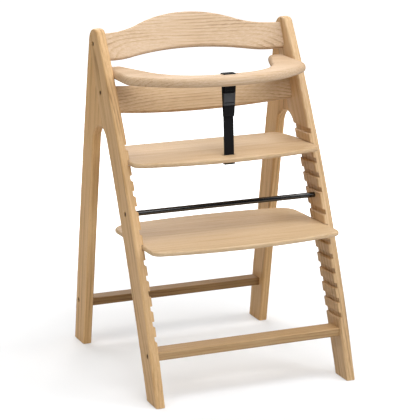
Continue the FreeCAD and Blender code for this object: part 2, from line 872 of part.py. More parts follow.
def cross_rod():
    """Round steel rod between the front legs, bored at both ends for its bolts."""
    body = new_body("cross_rod")
    sketch = new_sketch(body, "RodSection", "YZ_Plane")
    circle(sketch, size("rod_y"), size("rod_z"), size("rod_rad") * 2)
    pad(body, sketch, LEG_INNER * 2, both_ways=True)
    end_holes(body, (ROD_SCREW,), size("rod_bore"), size("bolt_in_rod") + 2)
    return body


# ---------------------------------------------------------------- fixings


def socket_screw(name, reach):
    """Screw along X with its head at +X: the shank passes the leg and runs on by reach."""
    head = doc.addObject("Part::Cylinder", name + "Head")
    head.Placement = Placement(Vector(0, 0, 0), Rotation(Vector(0, 1, 0), 90))
    head.setExpression("Radius", size("head_rad").text)
    head.setExpression("Height", size("head_len").text)
    shank = doc.addObject("Part::Cylinder", name + "Shank")
    shank.Placement = Placement(Vector(0, 0, 0), Rotation(Vector(0, 1, 0), -90))
    shank.setExpression("Radius", size("shank_rad").text)
    shank.setExpression("Height", (size("leg_thick") - size("recess_deep") + reach).text)
    whole = doc.addObject("Part::Fuse", name + "Whole")
    whole.Base = head
    whole.Tool = shank
    socket = doc.addObject("Part::Prism", name + "Socket")
    socket.Polygon = 6
    socket.Placement = Placement(Vector(0, 0, 0), Rotation(Vector(0, 1, 0), 90))
    socket.setExpression("Circumradius", (size("socket_flat") * (1 / math.sqrt(3))).text)
    socket.setExpression("Height", size("head_len").text)
    socket.setExpression("Placement.Base.x", (size("head_len") - size("socket_deep")).text)
    screw = doc.addObject("Part::Cut", name)
    screw.Base = whole
    screw.Tool = socket
    doc.recompute()
    return screw


def linked(original, name, x, y, z, turn=0):
    """Copy of an object at another place, turned about Z."""
    copy = doc.addObject("App::Link", name)
    copy.LinkedObject = original
    copy.Placement = Placement(Vector(0, 0, 0), Rotation(Vector(0, 0, 1), turn))
    for axis, value in zip("xyz", (x, y, z)):
        copy.setExpression("Placement.Base." + axis, as_size(value).text)
    return copy


def screw_set(label, name, reach, places):
    """The same screw through both side frames at each of the given places."""
    original = socket_screw(name, reach)
    seat = LEG_OUTER - size("recess_deep")
    return group(label, [
        linked(original, name + "Copy", seat * side, y, z, 0 if side > 0 else 180)
        for y, z in places for side in SIDES
    ])


def dowel_set(label, name, radius, in_leg, in_rail, places):
    """Round pieces along X, each shared between a leg and what it holds."""
    pieces = []
    for y, z in places:
        pieces.append(rod_piece(name, radius, LEG_INNER - in_rail, in_leg + in_rail, y, z))
        pieces.append(rod_piece(name, radius, -LEG_INNER - in_leg, in_leg + in_rail, y, z))
    return group(label, pieces)


def crossbar_barrel_nuts():
    """Barrel nuts set upright in the crossbars, each crossed by its bolt."""
    pin_body = doc.addObject("Part::Cylinder", "BarrelNutBody")
    pin_body.setExpression("Radius", size("nut_rad").text)
    pin_body.setExpression("Height", size("nut_len").text)
    pin_body.setExpression("Placement.Base.z", (size("nut_len") * -0.5).text)
    thread = doc.addObject("Part::Cylinder", "BarrelNutThread")
    thread.Placement = Placement(Vector(0, 0, 0), Rotation(Vector(0, 1, 0), 90))
    thread.setExpression("Radius", (size("shank_hole") * 0.5).text)
    thread.setExpression("Height", (size("nut_rad") * 4).text)
    thread.setExpression("Placement.Base.x", (size("nut_rad") * -2).text)
    nut = doc.addObject("Part::Cut", "BarrelNut")
    nut.Base = pin_body
    nut.Tool = thread
    doc.recompute()
    inset = LEG_INNER - size("nut_inset")
    return group("crossbar_barrel_nuts", [
        linked(nut, "BarrelNutCopy", inset * side, y, z)
        for y, z in (FRONT_BOLT, REAR_BOLT) for side in SIDES
    ])


# ---------------------------------------------------------------- crotch strap


def slab(body, name, width, y_fore, y_aft, z_low, z_high):
    """Block of webbing centred on the strap."""
    sketch = new_sketch(body, name, "YZ_Plane", size("strap_x"))
    box_outline(sketch, y_fore, y_aft, z_low, z_high)
    return pad(body, sketch, width, both_ways=True)


def crotch_strap():
    """Webbing: a loop round the rear lip of the guard bar, a wide band, a tape and a strap to the seat.

    The tape hangs in front of the band; the strap leans back from the seat to pass behind the band.
    """
    body = new_body("crotch_strap")
    skin = size("strap_skin")
    gap = size("loop_gap")
    low = size("guard_z") - gap
    high = size("guard_z") + size("guard_thick") + gap
    fore = -size("loop_fore")
    aft = -size("loop_aft")
    slab(body, "LoopOuter", size("loop_width"), fore, aft, low - skin, high + skin)
    inner = new_sketch(body, "LoopInner", "YZ_Plane", size("strap_x"))
    box_outline(inner, fore + skin, aft - skin, low, high)
    pocket(body, inner, both_ways=True)
    band = new_sketch(body, "Band", "XZ_Plane", size("band_aft"))
    centre = size("strap_x")
    outline(band, [
        (centre - size("band_foot") * 0.5, size("band_low")),
        (centre + size("band_foot") * 0.5, size("band_low")),
        (centre + size("band_top") * 0.5, low),
        (centre - size("band_top") * 0.5, low),
    ])
    pad(body, band, skin)
    front = -size("strap_fore")
    back = -size("strap_back")
    width = size("strap_width")
    slab(body, "Tape", width, front, front + skin, size("band_low"), low)
    seat_top = SEAT_BASE + size("board_thick") + size("strap_fore") * tangent(size("groove_tilt"))
    strap_foot = seat_top + size("strap_clear")
    strap = new_sketch(body, "Strap", "YZ_Plane", size("strap_x"))
    outline(strap, [
        (front, strap_foot),
        (front + skin, strap_foot),
        (back, size("band_low")),
        (back, low),
        (back - skin, low),
        (back - skin, size("band_low")),
    ])
    pad(body, strap, width, both_ways=True)
    slab(body, "Seam", width, front, back, size("seam_low"), low)
    return body


def strap_slider():
    """Flat adjuster that slides up and down the tape."""
    body = new_body("strap_slider")
    clear = size("strap_clear")
    front = -size("strap_fore")
    back = front + size("strap_skin")
    half = size("slider_width") * 0.5
    open_half = size("strap_width") * 0.5 + clear
    centre = size("strap_x")
    block = new_sketch(body, "SliderBlock", "XY_Plane", size("slider_low"))
    box_outline(block, centre - half, centre + half,
                front - clear - size("slider_face"), back + clear + size("slider_back"))
    pad(body, block, size("slider_high"))
    opening = new_sketch(body, "SliderOpening", "XY_Plane", size("slider_low"))
    box_outline(opening, centre - open_half, centre + open_half, front - clear, back + clear)
    pocket(body, opening, both_ways=True)
    return body


def strap_keeper():
    """End of the strap: past the slot in the seat it hangs as a sewn fold too deep to slip back."""
    body = new_body("strap_keeper")
    place(body, z=SEAT_BASE, tilt=size("groove_tilt"))
    front = -size("strap_fore")
    middle = front + size("strap_skin") * 0.5
    reach = size("keeper_deep") * 0.5
    slab(body, "KeeperFold", size("strap_width"), middle - reach, middle + reach,
         -size("keeper_drop"), 0)
    slab(body, "KeeperStem", size("strap_width"), front, front + size("strap_skin"),
         0, size("board_thick"))
    return body


# ---------------------------------------------------------------- build and write


def build():
    back_screws = (UPPER_SCREW, LOWER_SCREW)
    back_dowels = (back_dowel("upper"), back_dowel("lower"))
    return [
        front_leg(-1, "front_leg_left"),
        front_leg(1, "front_leg_right"),
        rear_leg(-1, "rear_leg_left"),
        rear_leg(1, "rear_leg_right"),
        leg_joint_dowels(),
        upper_backrest(),
        lower_backrest(),
        screw_set("backrest_screws", "BackScrew", size("screw_in_back"), back_screws),
        dowel_set("backrest_dowels", "BackDowel", size("dowel_rad"), size("dowel_in_leg"),
                  size("dowel_in_rail"), back_dowels),
        guard_bar(),
        dowel_set("guard_pins", "GuardPin", size("pin_rad"), size("pin_in_leg"),
                  size("pin_in_guard"), GUARD_PINS),
        seat_board(),
        footrest_board(),
        crossbar("front_crossbar", -size("front_bar_fore"), -size("front_bar_aft"),
                 size("front_bar_low"), FRONT_BOLT, FRONT_DOWEL),
        crossbar("rear_crossbar", size("rear_bar_fore"), size("rear_bar_aft"),
                 size("rear_bar_low"), REAR_BOLT, REAR_DOWEL),
        screw_set("crossbar_bolts", "BarBolt", size("bolt_in_bar"), (FRONT_BOLT, REAR_BOLT)),
        crossbar_barrel_nuts(),
        dowel_set("crossbar_dowels", "BarDowel", size("dowel_rad"), size("dowel_in_leg"),
                  size("dowel_in_rail"), (FRONT_DOWEL, REAR_DOWEL)),
        cross_rod(),
        screw_set("rod_bolts", "RodBolt", size("bolt_in_rod"), (ROD_SCREW,)),
        crotch_strap(),
        strap_slider(),
        strap_keeper(),
    ]


def check(thing):
    if "Invalid" in thing.State or "Error" in thing.State:
        raise RuntimeError(thing.Label + ": " + ", ".join(thing.State))


nodes = build()
doc.recompute()
if abs(nodes[0].Shape.Volume - nodes[1].Shape.Volume) > 10:
    raise RuntimeError("the two front legs differ")
for thing in doc.Objects:
    check(thing)
os.makedirs("parts", exist_ok=True)
for node in nodes:
    if node.Shape.isNull() or not node.Shape.isValid():
        raise RuntimeError(node.Label + ": bad shape")
    node.Shape.exportStep("parts/" + node.Label + ".step")
    box = node.Shape.BoundBox
    print("%-22s %2d solids %10.1f mm3  X %.1f %.1f  Y %.1f %.1f  Z %.1f %.1f" % (
        node.Label, len(node.Shape.Solids), node.Shape.Volume,
        box.XMin, box.XMax, box.YMin, box.YMax, box.ZMin, box.ZMax))
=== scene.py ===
import math

import bmesh
import bpy
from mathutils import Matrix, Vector


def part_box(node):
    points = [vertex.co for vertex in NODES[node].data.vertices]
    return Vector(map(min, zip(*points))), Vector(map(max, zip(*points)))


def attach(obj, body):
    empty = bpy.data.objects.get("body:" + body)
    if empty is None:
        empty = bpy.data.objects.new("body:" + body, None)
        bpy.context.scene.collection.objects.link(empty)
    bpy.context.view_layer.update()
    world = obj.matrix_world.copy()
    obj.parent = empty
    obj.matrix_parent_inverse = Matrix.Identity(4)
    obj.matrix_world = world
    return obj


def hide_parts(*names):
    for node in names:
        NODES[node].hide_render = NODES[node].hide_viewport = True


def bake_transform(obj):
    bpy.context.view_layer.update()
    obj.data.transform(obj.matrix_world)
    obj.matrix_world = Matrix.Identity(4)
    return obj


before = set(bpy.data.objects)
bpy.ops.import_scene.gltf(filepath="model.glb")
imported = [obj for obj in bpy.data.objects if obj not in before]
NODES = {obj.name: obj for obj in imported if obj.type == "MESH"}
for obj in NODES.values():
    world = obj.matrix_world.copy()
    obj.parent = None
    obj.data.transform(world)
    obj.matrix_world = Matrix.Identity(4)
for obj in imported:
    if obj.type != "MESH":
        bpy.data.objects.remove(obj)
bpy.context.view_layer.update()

# Baby high chair: looks of the wooden frame, the steel fastenings and the crotch strap.
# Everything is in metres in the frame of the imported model: +X right, -Y forward, +Z up.

# ---------------------------------------------------------------- node trees


def add(tree, kind, inputs=(), **settings):
    """New shader node; an input is a value or the socket that feeds it."""
    made = tree.nodes.new(kind)
    for key, value in settings.items():
        setattr(made, key, value)
    for key, value in dict(inputs).items():
        if isinstance(value, bpy.types.NodeSocket):
            tree.links.new(value, made.inputs[key])
        else:
            made.inputs[key].default_value = value
    return made


def new_material(name):
    """Empty material with its node tree and its Principled shader."""
    material = bpy.data.materials.new(name)
    material.use_nodes = True
    tree = material.node_tree
    tree.nodes.clear()
    shader = add(tree, "ShaderNodeBsdfPrincipled")
    output = add(tree, "ShaderNodeOutputMaterial")
    tree.links.new(shader.outputs["BSDF"], output.inputs["Surface"])
    return material, tree, shader


def math_node(tree, operation, first, second=0.0, clamp=False):
    made = add(tree, "ShaderNodeMath", {0: first, 1: second}, operation=operation, use_clamp=clamp)
    return made.outputs[0]


def ramp(tree, factor, *stops):
    """Colour ramp through (position, grey or colour) stops."""
    made = add(tree, "ShaderNodeValToRGB", {"Fac": factor})
    steps = made.color_ramp.elements
    while len(steps) < len(stops):
        steps.new(0.5)
    for step, (place, colour) in zip(steps, stops):
        step.position = place
        step.color = (*colour, 1) if isinstance(colour, tuple) else (colour, colour, colour, 1)
    return made.outputs["Color"]


def noise(tree, vector, scale, detail=2.0, roughness=0.5):
    made = add(tree, "ShaderNodeTexNoise",
               {"Vector": vector, "Scale": scale, "Detail": detail, "Roughness": roughness})
    return made.outputs["Fac"]


def mix(tree, factor, first, second, blend="MIX"):
    made = add(tree, "ShaderNodeMix", data_type="RGBA", blend_type=blend, clamp_result=False)
    for key, value in (("Factor_Float", factor), ("A_Color", first), ("B_Color", second)):
        socket = next(s for s in made.inputs if s.identifier == key)
        if isinstance(value, bpy.types.NodeSocket):
            tree.links.new(value, socket)
        else:
            socket.default_value = (*value, 1) if isinstance(value, tuple) else value
    return next(s for s in made.outputs if s.identifier == "Result_Color")


def bump(tree, height, strength, distance, below=None):
    inputs = {"Height": height, "Strength": strength, "Distance": distance}
    if below is not None:
        inputs["Normal"] = below
    return add(tree, "ShaderNodeBump", inputs).outputs["Normal"]


# ---------------------------------------------------------------- wood

ALONG_X = (0.0, 0.0, 0.0)
OAK_PALE = (0.690, 0.515, 0.325)
OAK_MID = (0.560, 0.375, 0.196)
OAK_DEEP = (0.270, 0.155, 0.066)


def leaning(degrees):
    """Rotation that lays a grain direction leaning back from the vertical along local X."""
    return (math.radians(degrees), math.radians(90), 0.0)


def stretched(tree, vector, along):
    """Coordinates whose pattern is drawn out along the grain; a smaller number draws it out more."""
    made = add(tree, "ShaderNodeMapping", {"Vector": vector, "Scale": (along, 1.0, 1.0)})
    return made.outputs["Vector"]


def wavered(tree, vector, scale, amount):
    """Coordinates pushed about by slow noise, so that the rings wander."""
    wander = add(tree, "ShaderNodeTexNoise", {"Vector": vector, "Scale": scale, "Detail": 1.0})
    offset = add(tree, "ShaderNodeVectorMath",
                 {0: wander.outputs["Color"], 1: (0.5, 0.5, 0.5)}, operation="SUBTRACT")
    return add(tree, "ShaderNodeVectorMath",
               {0: offset.outputs["Vector"], 1: (amount, amount, amount), 2: vector},
               operation="MULTIPLY_ADD").outputs["Vector"]


def wood(name, turn, shift, ring_gap=0.0075, rings=0.52, fibre=0.42, cloud=0.22, wander=0.045,
         draw=0.16, painted_light_tint=(1.0, 1.0, 1.0), rough=0.46):
    """Light oak: growth rings cut by the surface, fibre streaks, short pores and slow tone changes.

    turn lays the grain along local X and shift moves the pith off the piece; ring_gap is the
    ring spacing in metres, and rings, fibre and cloud weigh the three patterns. A smaller draw
    gives longer figures. The tint scales all three oak colours of the piece and is painted light:
    darker and warmer for a piece in shade, paler and cooler for a lit one.
    """
    material, tree, shader = new_material(name)
    where = add(tree, "ShaderNodeTexCoord").outputs["Object"]
    grain = add(tree, "ShaderNodeMapping",
                {"Vector": where, "Rotation": turn, "Location": shift}).outputs["Vector"]
    slow = stretched(tree, grain, draw)
    fine = stretched(tree, grain, 0.014)
    short = stretched(tree, grain, 0.07)

    ring = add(tree, "ShaderNodeTexWave", {
        "Vector": wavered(tree, slow, 6.0, wander), "Scale": 0.314 / ring_gap, "Distortion": 3.2,
        "Detail": 3.0, "Detail Scale": 0.9, "Detail Roughness": 0.55,
    }, wave_type="RINGS", rings_direction="X", wave_profile="SAW").outputs["Fac"]
    late = ramp(tree, ring, (0.0, 0.05), (0.50, 0.20), (0.88, 1.0), (1.0, 0.05))
    strength = ramp(tree, noise(tree, slow, 30.0, 1.0), (0.35, 0.15), (0.68, 1.0))
    late = math_node(tree, "MULTIPLY", late, strength)
    streak = ramp(tree, noise(tree, fine, 420.0, 4.0, 0.65), (0.30, 0.0), (0.72, 1.0))
    tone = ramp(tree, noise(tree, slow, 12.0, 3.0, 0.55), (0.30, 0.0), (0.70, 1.0))
    pore = ramp(tree, noise(tree, short, 1500.0, 1.0, 0.4), (0.62, 0.0), (0.72, 1.0))

    depth = math_node(tree, "MULTIPLY", late, rings)
    depth = math_node(tree, "ADD", depth, math_node(tree, "MULTIPLY", streak, fibre))
    depth = math_node(tree, "ADD", depth, math_node(tree, "MULTIPLY", tone, cloud), clamp=True)
    # Painted light: the tint of each piece scales its oak colours, darkening pieces in shade and paling
    # lit ones.
    oak_with_painted_light = [tuple(c * t for c, t in zip(colour, painted_light_tint)) for colour in (OAK_PALE, OAK_MID, OAK_DEEP)]
    colour = ramp(tree, depth, (0.05, oak_with_painted_light[0]), (0.50, oak_with_painted_light[1]), (1.0, oak_with_painted_light[2]))
    marked = math_node(tree, "MULTIPLY", pore, 0.28)
    colour = mix(tree, marked, colour, oak_with_painted_light[2])
    tree.links.new(colour, shader.inputs["Base Color"])

    rubbed = math_node(tree, "MULTIPLY", streak, 0.14)
    tree.links.new(math_node(tree, "ADD", rubbed, rough), shader.inputs["Roughness"])
    relief = math_node(tree, "SUBTRACT", 1.0, math_node(tree, "ADD", pore, math_node(
        tree, "MULTIPLY", streak, 0.35)))
    tree.links.new(bump(tree, relief, 0.35, 0.00025), shader.inputs["Normal"])
    shader.inputs["Specular IOR Level"].default_value = 0.40
    return material


# ---------------------------------------------------------------- metal, plastic, webbing


def steel(name, colour, metallic, rough, coat=0.0, spread=0.12, texture=900.0):
    """Turned or coated steel: a faint mottle in colour and gloss and a fine surface texture."""
    material, tree, shader = new_material(name)
    where = add(tree, "ShaderNodeTexCoord").outputs["Object"]
    mottle = noise(tree, where, 140.0, 3.0, 0.6)
    grit = noise(tree, where, texture, 2.0, 0.5)
    dark = tuple(c * 0.72 for c in colour)
    light = tuple(c * 1.25 for c in colour)
    tree.links.new(ramp(tree, mottle, (0.3, dark), (0.7, light)), shader.inputs["Base Color"])
    shader.inputs["Metallic"].default_value = metallic
    varied = math_node(tree, "MULTIPLY", grit, spread)
    tree.links.new(math_node(tree, "ADD", varied, rough), shader.inputs["Roughness"])
    shader.inputs["Coat Weight"].default_value = coat
    shader.inputs["Coat Roughness"].default_value = 0.07
    tree.links.new(bump(tree, grit, 0.12, 0.0001), shader.inputs["Normal"])
    return material


def webbing(name):
    """Black polypropylene webbing: lengthwise ribs crossed by picks, with a soft sheen."""
    material, tree, shader = new_material(name)
    where = add(tree, "ShaderNodeTexCoord").outputs["Object"]
    parts = add(tree, "ShaderNodeSeparateXYZ", {"Vector": where})
    along = math_node(tree, "ADD", parts.outputs["Y"], parts.outputs["Z"])
    rib_turns = math.tau / 0.0016
    pick_turns = math.tau / 0.0011
    rib_phase = math_node(tree, "MULTIPLY", parts.outputs["X"], rib_turns)
    rib = math_node(tree, "SINE", rib_phase)
    half_step = math_node(tree, "MULTIPLY", math_node(tree, "SIGN", rib), math.pi / 2)
    pick_phase = math_node(tree, "ADD", math_node(tree, "MULTIPLY", along, pick_turns), half_step)
    pick = math_node(tree, "SINE", pick_phase)
    weave = math_node(tree, "ADD", math_node(tree, "MULTIPLY", math_node(tree, "ABSOLUTE", rib), 0.6),
                      math_node(tree, "MULTIPLY", pick, 0.4))
    fuzz = noise(tree, where, 1800.0, 2.0, 0.6)
    lift = math_node(tree, "ADD", weave, math_node(tree, "MULTIPLY", fuzz, 0.35))
    colour = ramp(tree, lift, (0.0, (0.0012, 0.0012, 0.0018)), (0.9, (0.0050, 0.0050, 0.0068)))
    tree.links.new(colour, shader.inputs["Base Color"])
    tree.links.new(math_node(tree, "ADD", math_node(tree, "MULTIPLY", fuzz, 0.2), 0.62),
                   shader.inputs["Roughness"])
    tree.links.new(bump(tree, lift, 0.5, 0.0002), shader.inputs["Normal"])
    shader.inputs["Sheen Weight"].default_value = 0.03
    shader.inputs["Specular IOR Level"].default_value = 0.20
    shader.inputs["Sheen Roughness"].default_value = 0.45
    return material


def moulded_plastic(name):
    """Satin dark-grey moulded plastic with a fine spark-eroded texture."""
    material, tree, shader = new_material(name)
    where = add(tree, "ShaderNodeTexCoord").outputs["Object"]
    grain = noise(tree, where, 2200.0, 2.0, 0.5)
    flow = noise(tree, where, 60.0, 2.0, 0.5)
    colour = ramp(tree, flow, (0.3, (0.040, 0.042, 0.046)), (0.7, (0.056, 0.058, 0.063)))
    tree.links.new(colour, shader.inputs["Base Color"])
    tree.links.new(math_node(tree, "ADD", math_node(tree, "MULTIPLY", grain, 0.15), 0.40),
                   shader.inputs["Roughness"])
    tree.links.new(bump(tree, grain, 0.2, 0.0001), shader.inputs["Normal"])
    return material


def thread(name):
    """Black sewing thread: a fine twist in the relief and a slightly brighter tone than the webbing."""
    material, tree, shader = new_material(name)
    where = add(tree, "ShaderNodeTexCoord").outputs["Object"]
    twist = noise(tree, where, 5200.0, 1.0, 0.5)
    colour = ramp(tree, twist, (0.3, (0.005, 0.005, 0.006)), (0.7, (0.014, 0.014, 0.016)))
    tree.links.new(colour, shader.inputs["Base Color"])
    tree.links.new(math_node(tree, "ADD", math_node(tree, "MULTIPLY", twist, 0.2), 0.45),
                   shader.inputs["Roughness"])
    tree.links.new(bump(tree, twist, 0.3, 0.0001), shader.inputs["Normal"])
    return material


def dress(node, material):
    """Give a CAD node its material."""
    slots = NODES[node].data.materials
    for i in range(len(slots)):
        slots[i] = material


FRONT_LEAN = 24.0
REAR_LEAN = -10.5

# Painted light in the wood tints: the golden and amber tints are painted warm shade for legs seen on
# their shaded sides, and the creamy tint is a painted pale sheen for a lit board.
PAINTED_SHADE_GOLD = (1.07, 0.98, 0.84)
PAINTED_SHADE_AMBER = (1.12, 1.00, 0.80)
PAINTED_SHEEN_PALE = (0.99, 1.03, 1.20)

# Every tint below is painted light: legs warmer where seen in shade, and the backrests, guard bar and
# boards paler and cooler where lit.
WOODS = {
    "front_leg_left": dict(turn=leaning(FRONT_LEAN), shift=(0.0, 0.060, 0.31), painted_light_tint=PAINTED_SHADE_GOLD),
    "front_leg_right": dict(turn=leaning(FRONT_LEAN), shift=(0.7, 0.075, -0.17), painted_light_tint=(1.04, 1.01, 0.98)),
    "rear_leg_left": dict(turn=leaning(REAR_LEAN), shift=(1.3, -0.090, 0.33), painted_light_tint=PAINTED_SHADE_AMBER),
    "rear_leg_right": dict(turn=leaning(REAR_LEAN), shift=(2.1, -0.060, -0.16), painted_light_tint=PAINTED_SHADE_AMBER),
    "upper_backrest": dict(turn=ALONG_X, shift=(0.1, -0.135, -0.700), painted_light_tint=PAINTED_SHEEN_PALE),
    "lower_backrest": dict(turn=ALONG_X, shift=(0.9, -0.075, -0.500), painted_light_tint=(0.96, 0.95, 0.98),
                           rings=0.62, ring_gap=0.0062, draw=0.10),
    "guard_bar": dict(turn=ALONG_X, shift=(0.4, 0.150, -0.640), painted_light_tint=(0.96, 0.98, 1.12)),
    "seat_board": dict(turn=ALONG_X, shift=(0.2, 0.100, -0.300), painted_light_tint=(0.97, 0.97, 1.00),
                       rings=0.24, cloud=0.16),
    "footrest_board": dict(turn=ALONG_X, shift=(1.6, 0.140, -0.120), painted_light_tint=(1.01, 1.02, 1.05),
                           rings=0.24, cloud=0.16),
    # Painted shade: both crossbars are darkened by their tints, the rear one most, for the shade under
    # the footrest board.
    "front_crossbar": dict(turn=ALONG_X, shift=(0.6, 0.260, -0.060), painted_light_tint=(0.77, 0.70, 0.59)),
    "rear_crossbar": dict(turn=ALONG_X, shift=(1.1, -0.180, -0.050), painted_light_tint=(0.52, 0.43, 0.28)),
    "leg_joint_dowels": dict(turn=ALONG_X, shift=(0.3, 0.020, -0.600)),
    "backrest_dowels": dict(turn=ALONG_X, shift=(0.5, 0.030, -0.650)),
    "crossbar_dowels": dict(turn=ALONG_X, shift=(0.8, 0.040, -0.080)),
}

for node_name, choices in WOODS.items():
    dress(node_name, wood("wood_" + node_name, **choices))

BLACK_OXIDE = steel("black_oxide", (0.0025, 0.0025, 0.0028), 0.15, 0.42)
GLOSS_BLACK = steel("gloss_black", (0.0030, 0.0030, 0.0034), 0.0, 0.10, coat=0.7, spread=0.04)
ZINC = steel("zinc", (0.60, 0.61, 0.63), 1.0, 0.30)
dress("backrest_screws", BLACK_OXIDE)
dress("crossbar_bolts", BLACK_OXIDE)
dress("rod_bolts", BLACK_OXIDE)
dress("cross_rod", GLOSS_BLACK)
dress("guard_pins", ZINC)
dress("crossbar_barrel_nuts", ZINC)

# ---------------------------------------------------------------- strap

WEBBING = webbing("black_webbing")
THREAD_BLACK = thread("black_thread")
PLASTIC = moulded_plastic("slider_grey")


def new_piece(name, mesh_maker, material, smooth_below=35.0):
    """Object from a bmesh, shaded smooth except across edges sharper than smooth_below degrees."""
    mesh = bpy.data.meshes.new(name)
    mesh_maker.to_mesh(mesh)
    mesh_maker.free()
    mesh.materials.append(material)
    piece = bpy.data.objects.new(name, mesh)
    bpy.context.scene.collection.objects.link(piece)
    for face in mesh.polygons:
        face.use_smooth = True
    mesh.set_sharp_from_angle(angle=math.radians(smooth_below))
    return piece


def ribbon(line, widths, thick, closed=False, cells=10):
    """Webbing swept along a line in a plane of constant X; line holds (x, y, z) centre points.

    The section is a flat strip with rounded selvedges, widths[i] wide at line[i].
    """
    count = len(line)
    made = bmesh.new()
    rings = []
    for i, centre in enumerate(line):
        ahead = line[(i + 1) % count] if closed or i < count - 1 else line[i]
        behind = line[i - 1] if closed or i > 0 else line[i]
        run = (ahead - behind).normalized()
        out = run.cross(Vector((1, 0, 0))).normalized()
        half = widths[i] / 2
        edge = thick * 0.30
        section = []
        for j in range(cells + 1):
            across = -half + edge + (2 * half - 2 * edge) * j / cells
            section.append((across, thick / 2))
        section.append((half, edge * 0.6))
        section.append((half, -edge * 0.6))
        for j in range(cells + 1):
            across = half - edge - (2 * half - 2 * edge) * j / cells
            section.append((across, -thick / 2))
        section.append((-half, -edge * 0.6))
        section.append((-half, edge * 0.6))
        rings.append([made.verts.new(centre + Vector((across, 0, 0)) + out * off)
                      for across, off in section])
    last = count if closed else count - 1
    for i in range(last):
        here, there = rings[i], rings[(i + 1) % count]
        for j in range(len(here)):
            k = (j + 1) % len(here)
            made.faces.new((here[j], here[k], there[k], there[j]))
    if not closed:
        made.faces.new(list(reversed(rings[0])))
        made.faces.new(rings[-1])
    bmesh.ops.recalc_face_normals(made, faces=made.faces)
    return made


def straight(x, y, z_from, z_to, steps):
    return [Vector((x, y, z_from + (z_to - z_from) * i / steps)) for i in range(steps + 1)]


def rounded_loop(x, y_fore, y_aft, z_low, z_high, radius, steps=6):
    """Closed rectangular loop with rounded corners in a plane of constant X."""
    points = []
    corners = ((y_aft - radius, z_high - radius, 0), (y_fore + radius, z_high - radius, 90),
               (y_fore + radius, z_low + radius, 180), (y_aft - radius, z_low + radius, 270))
    for y, z, start in corners:
        for i in range(steps + 1):
            turn = math.radians(start + 90 * i / steps)
            points.append(Vector((x, y + radius * math.cos(turn), z + radius * math.sin(turn))))
    return points


STRAP_LOW, STRAP_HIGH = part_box("crotch_strap")
SLIDER_LOW, SLIDER_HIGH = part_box("strap_slider")
KEEPER_LOW, KEEPER_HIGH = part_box("strap_keeper")
GUARD_LOW, GUARD_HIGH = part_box("guard_bar")
SKIN = 0.0015
GAP = 0.0003
STRAP_X = (SLIDER_LOW.x + SLIDER_HIGH.x) / 2
STRAP_WIDTH = KEEPER_HIGH.x - KEEPER_LOW.x
TAPE_Y = -0.10785
BAND_Y = -0.10475
WEB_Y = -0.10275
BAND_TOP = GUARD_LOW.z - 2 * GAP
TAPE_TOP = BAND_TOP - 0.0005
BAND_HEM = 0.614
BAND_WIDTHS = (0.0360, 0.0285)
LOOP_WIDTH = 0.030
SEAM_FOOT = 0.672
THREAD = 0.0005
STITCH_PITCH = 0.0026
SEAT_TILT = math.radians(1.4)
SEAT_THICK = 0.0113
STRAP_FACE = 0.1086
FOLD_DROP = 0.0110
SLIDER_FACE = 0.0015


def strap_loop():
    """Webbing round the rear lip of the guard bar."""
    half = SKIN / 2
    line = rounded_loop(STRAP_X, STRAP_LOW.y + half, STRAP_HIGH.y - half,
                        GUARD_LOW.z - GAP - half, STRAP_HIGH.z - half, 0.0016)
    return new_piece("strap_loop", ribbon(line, [LOOP_WIDTH] * len(line), SKIN, closed=True), WEBBING)


def strap_band():
    """Wide band that hangs from the loop and narrows downwards."""
    steps = 40
    line = straight(STRAP_X, BAND_Y, BAND_TOP, BAND_HEM, steps)
    top, foot = BAND_WIDTHS
    widths = [top + (foot - top) * i / steps for i in range(steps + 1)]
    return new_piece("strap_band", ribbon(line, widths, SKIN), WEBBING)


def strap_tape():
    """Tape in front of the band, which carries the slider."""
    line = straight(STRAP_X, TAPE_Y, TAPE_TOP, BAND_HEM, 40)
    return new_piece("strap_tape", ribbon(line, [STRAP_WIDTH] * len(line), SKIN), WEBBING)


def strap_web():
    """Strap that drops behind the band and leans forward to the seat."""
    line = straight(STRAP_X, WEB_Y, TAPE_TOP, BAND_HEM + 0.004, 30)
    hem = Vector((STRAP_X, WEB_Y, BAND_HEM))
    foot = Vector((STRAP_X, TAPE_Y, STRAP_LOW.z))
    line += [hem.lerp(foot, 0.04 + 0.96 * i / 40) for i in range(41)]
    return new_piece("strap_web", ribbon(line, [STRAP_WIDTH] * len(line), SKIN), WEBBING)


def stitch(made, centre, along, length):
    """One stitch: a short thread with tapered ends, standing proud of the webbing."""
    across = Vector((0, 0, 1)) if abs(along.x) > 0.5 else Vector((1, 0, 0))
    out = Vector((0, -1, 0))
    rings = []
    for share, girth in ((-0.5, 0.35), (-0.32, 1.0), (0.32, 1.0), (0.5, 0.35)):
        middle = centre + along * (share * length)
        rings.append([made.verts.new(
            middle + (across * math.cos(a) + out * math.sin(a)) * THREAD / 2 * girth)
            for a in (math.tau * k / 6 for k in range(6))])
    for here, there in zip(rings, rings[1:]):
        for k in range(6):
            made.faces.new((here[k], here[(k + 1) % 6], there[(k + 1) % 6], there[k]))
    made.faces.new(list(reversed(rings[0])))
    made.faces.new(rings[-1])


def seam_stitches():
    """Box of stitches where the tape is sewn to the band, and a row across the tape's lower end."""
    made = bmesh.new()
    pitch = STITCH_PITCH
    face = TAPE_Y - SKIN / 2 - THREAD * 0.2
    count = int((STRAP_WIDTH - 0.004) / pitch)
    for height in (SEAM_FOOT + 0.002, SEAM_FOOT + 0.0145, BAND_HEM + 0.003):
        for k in range(count + 1):
            x = STRAP_X + (k - count / 2) * pitch
            stitch(made, Vector((x, face, height)), Vector((1, 0, 0)), pitch * 0.75)
    for side in (-1, 1):
        for k in range(4):
            place = Vector((STRAP_X + side * (STRAP_WIDTH / 2 - 0.0025), face,
                            SEAM_FOOT + 0.0043 + k * pitch))
            stitch(made, place, Vector((0, 0, 1)), pitch * 0.75)
    bmesh.ops.recalc_face_normals(made, faces=made.faces)
    return new_piece("strap_stitches", made, THREAD_BLACK)


